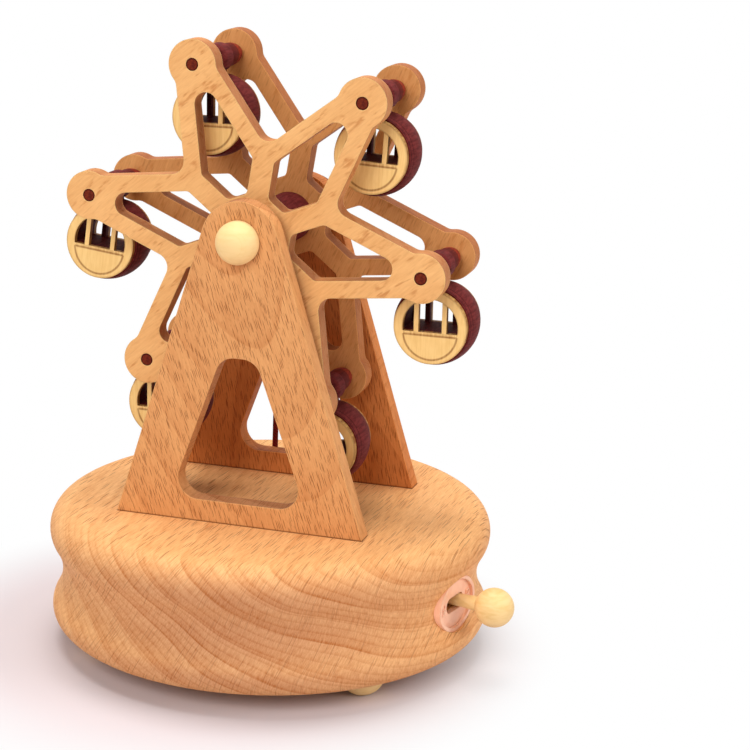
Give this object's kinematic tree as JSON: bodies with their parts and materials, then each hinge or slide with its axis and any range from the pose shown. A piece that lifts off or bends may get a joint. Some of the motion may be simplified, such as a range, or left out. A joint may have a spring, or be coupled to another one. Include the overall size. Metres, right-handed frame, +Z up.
{
  "type": "wind-up ferris wheel music box",
  "caption": "Wooden wind-up Ferris wheel music box: turned round base with a spring movement inside, A-shaped stands and a belt-driven wheel with hanging barrel gondolas.",
  "frame": {"origin": "on the axis of the round base, on the surface that the ball feet stand on", "axes": "+Z up, +Y to the back along the wheel's axle, so the front faces -Y and the switch points to +X"},
  "size_m": [0.1269, 0.116, 0.1588],
  "materials": {
    "base_wood": "satin lacquer over beech",
    "stand_wood": "satin, redder beech with dark pores",
    "wheel_wood": "satin lacquer over light beech",
    "pale_wood": "satin, pale birch",
    "ply_wood": "matt thin ply with burnt lines",
    "stained_wood": "satin dark maroon stain",
    "red_wood": "satin red stain",
    "belt_rubber": "dull round cord",
    "pink_plastic": "semi-gloss",
    "brass": "polished",
    "steel": "brushed",
    "zinc": "cast, dull"
  },
  "bodies": {
    "stand_base": {"base_block": "base_wood", "bottom_cover": "base_wood", "cover_screws": "brass", "ball_feet": "pale_wood", "front_stand": "stand_wood", "rear_stand": "stand_wood", "stand_dowels": "pale_wood", "switch_plate": "pink_plastic", "drive_belt": "belt_rubber", "bedplate": "zinc", "movement_screws": "brass", "music_comb": "steel", "comb_screws": "steel"},
    "wheel": {"front_wheel_frame": "wheel_wood", "rear_wheel_frame": "wheel_wood", "hub_spool": "stained_wood", "wheel_axle": "stained_wood", "axle_collars": "pale_wood", "front_cap": "pale_wood", "driven_pulley": "stained_wood", "spindle_1": "stained_wood", "spindle_2": "stained_wood", "spindle_3": "stained_wood", "spindle_4": "stained_wood", "spindle_5": "stained_wood", "spindle_6": "stained_wood", "spacers_1": "red_wood", "spacers_2": "red_wood", "spacers_3": "red_wood", "spacers_4": "red_wood", "spacers_5": "red_wood", "spacers_6": "red_wood"},
    "cylinder": {"music_cylinder": "brass", "cylinder_arbor": "steel", "cylinder_gear": "brass", "drive_pulley": "pale_wood"},
    "barrel": {"spring_barrel": "brass", "mainspring": "steel"},
    "governor": {"governor_wheel": "brass"},
    "fan": {"governor_fan": "steel"},
    "winder": {"winding_arbor": "steel", "key_pin": "steel"},
    "key": {"winding_key": "brass"},
    "switch": {"switch_knob": "pale_wood", "stop_lever": "steel"},
    "gondola_1": {"gondola_drum_1": "stained_wood", "gondola_faces_1": "ply_wood"},
    "gondola_2": {"gondola_drum_2": "stained_wood", "gondola_faces_2": "ply_wood"},
    "gondola_3": {"gondola_drum_3": "stained_wood", "gondola_faces_3": "ply_wood"},
    "gondola_4": {"gondola_drum_4": "stained_wood", "gondola_faces_4": "ply_wood"},
    "gondola_5": {"gondola_drum_5": "stained_wood", "gondola_faces_5": "ply_wood"},
    "gondola_6": {"gondola_drum_6": "stained_wood", "gondola_faces_6": "ply_wood"}
  },
  "joints": [
    {"name": "wheel_spin", "type": "hinge", "parent": "stand_base", "child": "wheel", "pos_m": [0, 0, 0.1111], "axis": [0, 1, 0], "continuous": true},
    {"name": "gondola_1_hang", "type": "hinge", "parent": "wheel", "child": "gondola_1", "pos_m": [-0.01569, 0, 0.15263], "axis": [0, 1, 0], "continuous": true},
    {"name": "gondola_2_hang", "type": "hinge", "parent": "wheel", "child": "gondola_2", "pos_m": [0.02812, 0, 0.14546], "axis": [0, 1, 0], "continuous": true},
    {"name": "gondola_3_hang", "type": "hinge", "parent": "wheel", "child": "gondola_3", "pos_m": [0.04382, 0, 0.10393], "axis": [0, 1, 0], "continuous": true},
    {"name": "gondola_4_hang", "type": "hinge", "parent": "wheel", "child": "gondola_4", "pos_m": [0.01569, 0, 0.06957], "axis": [0, 1, 0], "continuous": true},
    {"name": "gondola_5_hang", "type": "hinge", "parent": "wheel", "child": "gondola_5", "pos_m": [-0.02812, 0, 0.07674], "axis": [0, 1, 0], "continuous": true},
    {"name": "gondola_6_hang", "type": "hinge", "parent": "wheel", "child": "gondola_6", "pos_m": [-0.04382, 0, 0.11828], "axis": [0, 1, 0], "continuous": true},
    {"name": "cylinder_turn", "type": "hinge", "parent": "stand_base", "child": "cylinder", "pos_m": [0, 0, 0.0216], "axis": [0, 1, 0], "continuous": true},
    {"name": "barrel_turn", "type": "hinge", "parent": "stand_base", "child": "barrel", "pos_m": [0, -0.0125, 0.014], "axis": [0, 0, 1], "continuous": true},
    {"name": "governor_turn", "type": "hinge", "parent": "stand_base", "child": "governor", "pos_m": [0.0104, 0, 0.0216], "axis": [0, 1, 0], "continuous": true},
    {"name": "fan_turn", "type": "hinge", "parent": "stand_base", "child": "fan", "pos_m": [0.0165, 0.02531, 0.02], "axis": [0, 0, 1], "continuous": true},
    {"name": "key_wind", "type": "hinge", "parent": "stand_base", "child": "winder", "pos_m": [0, -0.0125, 0.008], "axis": [0, 0, 1], "continuous": true},
    {"name": "key_fold", "type": "hinge", "parent": "winder", "child": "key", "pos_m": [0, -0.0125, 0.0025], "axis": [-1, 0, 0], "range_deg": [0, 90]},
    {"name": "switch_slide", "type": "slide", "parent": "stand_base", "child": "switch", "axis": [-0.2079, -0.9781, 0], "range_m": [0, 0.0052]}
  ],
  "couplings": [
    {"joint": "gondola_1_hang", "follows": "wheel_spin", "ratio": -1},
    {"joint": "gondola_2_hang", "follows": "wheel_spin", "ratio": -1},
    {"joint": "gondola_3_hang", "follows": "wheel_spin", "ratio": -1},
    {"joint": "gondola_4_hang", "follows": "wheel_spin", "ratio": -1},
    {"joint": "gondola_5_hang", "follows": "wheel_spin", "ratio": -1},
    {"joint": "gondola_6_hang", "follows": "wheel_spin", "ratio": -1},
    {"joint": "cylinder_turn", "follows": "wheel_spin", "ratio": 0.84783},
    {"joint": "barrel_turn", "follows": "wheel_spin", "ratio": 0.26495},
    {"joint": "governor_turn", "follows": "wheel_spin", "ratio": -2.8261},
    {"joint": "fan_turn", "follows": "wheel_spin", "ratio": 16.957}
  ]
}
